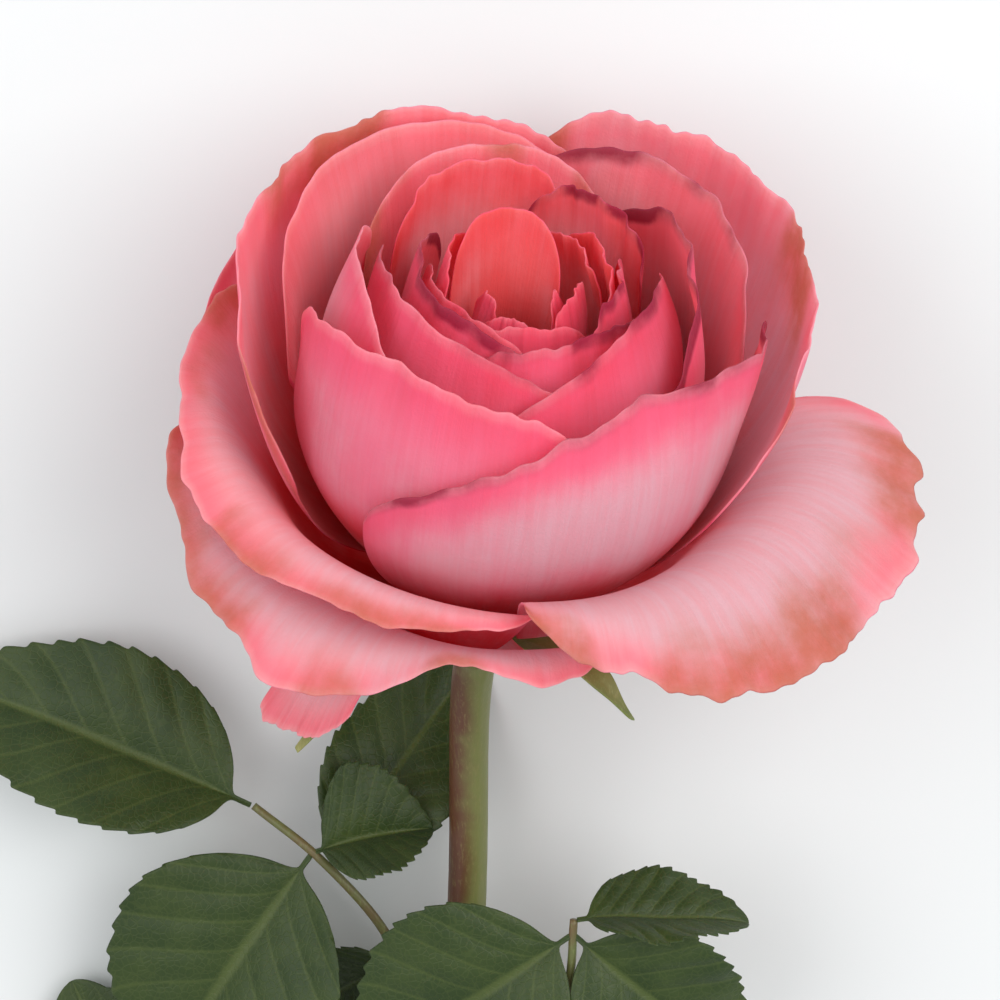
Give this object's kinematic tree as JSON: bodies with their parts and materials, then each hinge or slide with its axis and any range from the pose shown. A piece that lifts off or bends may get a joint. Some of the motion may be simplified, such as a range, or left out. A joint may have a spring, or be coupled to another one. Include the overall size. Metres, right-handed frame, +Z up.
{
  "type": "cut rose",
  "caption": "Cut garden rose lying on its side, with a full coral-pink bloom, a slender stem and leaves of several leaflets.",
  "frame": {"origin": "under the middle of the whole rose, on the surface that it lies on", "axes": "+Z up; +Y along the stem, from the cut end towards the bloom; +X to the right when the bloom points away from the viewer"},
  "size_m": [0.1518, 0.3696, 0.0863],
  "materials": {
    "petal": "soft matt living petal",
    "leaf": "satin leaf",
    "leaf_stalk": "satin green stalk",
    "stem": "satin green stem, reddish on one side",
    "hip": "smooth green",
    "sepal": "matt green",
    "stamen": "powdery yellow"
  },
  "bodies": {
    "root": {"core_petal_centre": "petal", "core_petal_front": "petal", "core_petal_left": "petal", "core_petal_right": "petal", "cup_petal_back_left": "petal", "cup_petal_back_right": "petal", "cup_petal_front_left": "petal", "cup_petal_front_right": "petal", "eye_petal_front": "petal", "eye_petal_left": "petal", "eye_petal_lower_right": "petal", "eye_petal_right": "petal", "eye_petal_upper_right": "petal", "guard_petal_front_left": "petal", "guard_petal_hanging": "petal", "guard_petal_left": "petal", "guard_petal_right": "petal", "guard_petal_under_left": "petal", "guard_petal_under_right": "petal", "heart_petal_back": "petal", "heart_petal_back_right": "petal", "heart_petal_front": "petal", "heart_petal_left": "petal", "heart_petal_lower_left": "petal", "heart_petal_right": "petal", "hip": "hip", "inner_petal_back": "petal", "inner_petal_front_left": "petal", "inner_petal_front_right": "petal", "inner_petal_left": "petal", "inner_petal_right": "petal", "leaf_left_inner": "leaf", "leaf_left_low_inner": "leaf", "leaf_left_low_outer": "leaf", "leaf_left_outer": "leaf", "leaf_left_stalk": "leaf_stalk", "leaf_left_tip": "leaf", "leaf_low_inner": "leaf", "leaf_low_low_inner": "leaf", "leaf_low_low_outer": "leaf", "leaf_low_outer": "leaf", "leaf_low_stalk": "leaf_stalk", "leaf_low_tip": "leaf", "leaf_right_inner": "leaf", "leaf_right_low_left": "leaf", "leaf_right_low_right": "leaf", "leaf_right_outer": "leaf", "leaf_right_stalk": "leaf_stalk", "leaf_right_tip": "leaf", "sepal_front_left": "sepal", "sepal_front_right": "sepal", "sepal_left": "sepal", "sepal_right": "sepal", "sepal_under": "sepal", "stamens": "stamen", "stem": "stem", "upright_petal_left": "petal", "upright_petal_right": "petal"}
  },
  "joints": []
}
